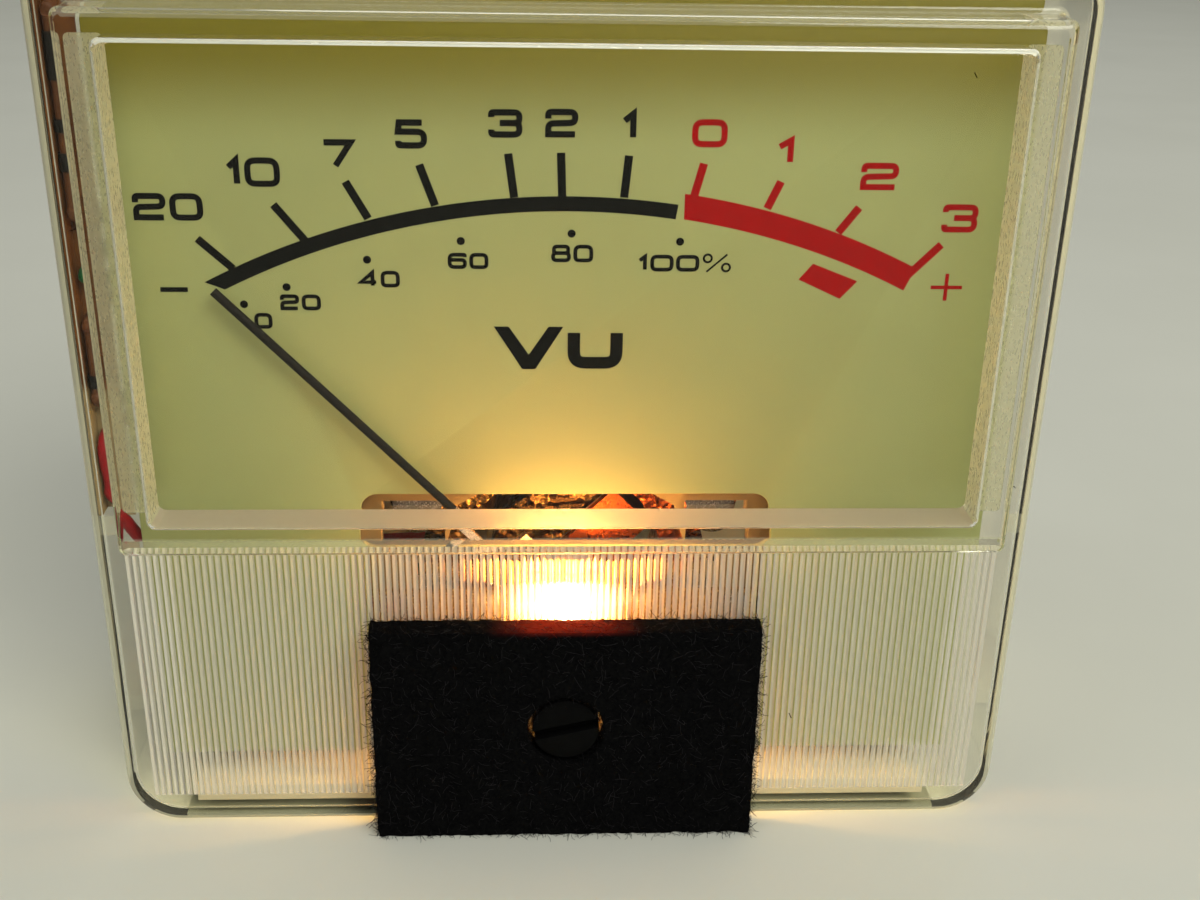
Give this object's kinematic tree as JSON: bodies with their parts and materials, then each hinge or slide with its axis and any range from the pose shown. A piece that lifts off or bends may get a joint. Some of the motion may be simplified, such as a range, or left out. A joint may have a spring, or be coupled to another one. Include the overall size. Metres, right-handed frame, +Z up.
{
  "type": "analog VU meter",
  "caption": "Square panel meter with a raised clear window, lit cream dial, moving-coil pointer, ribbed lower panel, felt pad and slotted zero adjuster.",
  "frame": {"origin": "middle of the object's base, on the surface that it stands on: under the middle of its width and of its whole depth from the window to the ends of the studs", "axes": "+Z up the dial, +X to the right as the dial is read, +Y from the dial towards the rear terminals; the dial faces -Y"},
  "size_m": [0.066, 0.0426, 0.064],
  "materials": {
    "cover": "clear polystyrene with a slight yellow tint, glossy",
    "felt": "dense black felt with loose fibres",
    "black_plastic": "black plastic, satin",
    "steel": "bright zinc-plated steel",
    "brass": "bright turned brass",
    "dial": "cream satin paint with printed scale",
    "foam": "white adhesive foam",
    "frame_cream": "cream moulded plastic",
    "case_cream": "cream moulded plastic",
    "yoke_steel": "yellow-plated iron with a hammered face",
    "magnet": "yellow-plated cast magnet with a hammered skin",
    "aluminium": "bright drawn aluminium",
    "copper": "enamelled copper wire",
    "bronze": "phosphor bronze strip",
    "pointer_black": "black satin paint on aluminium",
    "lamp_glass": "clear glass tube",
    "filament": "tungsten, glowing orange when the lamp is lit",
    "board_brown": "brown phenolic board",
    "resistor": "tan lacquer with colour bands",
    "tinned": "tinned brass sheet",
    "lead_brown": "brown plastic insulation",
    "lead_green": "green plastic insulation",
    "lead_red": "red plastic insulation",
    "lead_black": "black plastic insulation"
  },
  "bodies": {
    "meter": {"front_cover": "cover", "felt_pad": "felt", "dial_plate": "dial", "dial_pads": "foam", "frame_plate": "frame_cream", "frame_screws": "steel", "rear_case": "case_cream", "magnet_yoke": "yoke_steel", "core_magnet": "magnet", "core_screws": "brass", "front_bridge": "brass", "rear_bridge": "brass", "bridge_screws": "steel", "front_jewel_screw": "brass", "rear_jewel_screw": "brass", "stop_pins": "steel", "movement_screws": "steel", "rear_hairspring": "bronze", "lamp_glass": "lamp_glass", "lamp_filament": "filament", "lamp_caps": "brass", "lamp_clips": "brass", "clip_rivets": "steel", "rectifier_board": "board_brown", "board_screws": "steel", "diodes": "black_plastic", "series_resistor": "resistor", "terminal_studs": "brass", "terminal_washers": "steel", "solder_lugs": "tinned", "terminal_nuts": "brass", "lamp_terminals": "tinned", "leads_brown": "lead_brown", "leads_green": "lead_green", "lead_red": "lead_red", "lead_black": "lead_black", "lead_sleeves": "lead_black"},
    "zero_adjuster": {"zero_screw": "black_plastic", "zero_screw_clip": "steel"},
    "zero_lever": {"zero_arm": "brass", "front_hairspring": "bronze"},
    "movement": {"coil_former": "aluminium", "coil_winding": "copper", "pivot_staffs": "steel", "pointer_arm": "aluminium", "pointer_blade": "pointer_black", "counterweight": "steel"}
  },
  "joints": [
    {"name": "zero_adjuster_turn", "type": "hinge", "parent": "meter", "child": "zero_adjuster", "pos_m": [0, -0.0177, 0.0093], "axis": [0, 1, 0], "range_deg": [-45, 45]},
    {"name": "zero_lever_turn", "type": "hinge", "parent": "meter", "child": "zero_lever", "pos_m": [0, -0.0117, 0.0175], "axis": [0, 1, 0], "range_deg": [-4.2, 4.2]},
    {"name": "pointer_swing", "type": "hinge", "parent": "zero_lever", "child": "movement", "pos_m": [0, -0.0027, 0.0175], "axis": [0, 1, 0], "range_deg": [-1, 88], "stiffness_Nm_per_rad": 0.000008, "deforming": ["front_hairspring", "rear_hairspring"]}
  ],
  "couplings": [
    {"joint": "zero_lever_turn", "follows": "zero_adjuster_turn", "ratio": 0.093}
  ]
}
